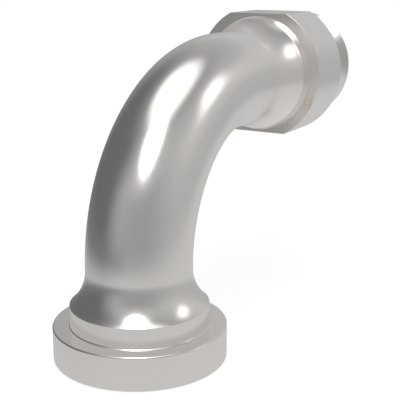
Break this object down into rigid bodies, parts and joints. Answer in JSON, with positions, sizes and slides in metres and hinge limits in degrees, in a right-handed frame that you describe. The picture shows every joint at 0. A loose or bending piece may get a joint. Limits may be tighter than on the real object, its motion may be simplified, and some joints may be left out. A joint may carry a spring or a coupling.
{
  "type": "flanged elbow",
  "caption": "Quarter-bend steel pipe elbow with a round clamp flange head at the inlet, and a wrench collar and thin lip at the outlet.",
  "frame": {"origin": "centre of the flange head's sealing face", "axes": "+Z along the inlet axis from the sealing face into the elbow, +X along the outlet axis, the way the flow leaves, +Y across the bend"},
  "size_m": [0.1709, 0.0634, 0.1186],
  "materials": {
    "satin_steel": "satin-polished steel, fine turning lines on the head, necks and collar"
  },
  "bodies": {
    "root": {"elbow_body": "satin_steel"}
  },
  "joints": []
}
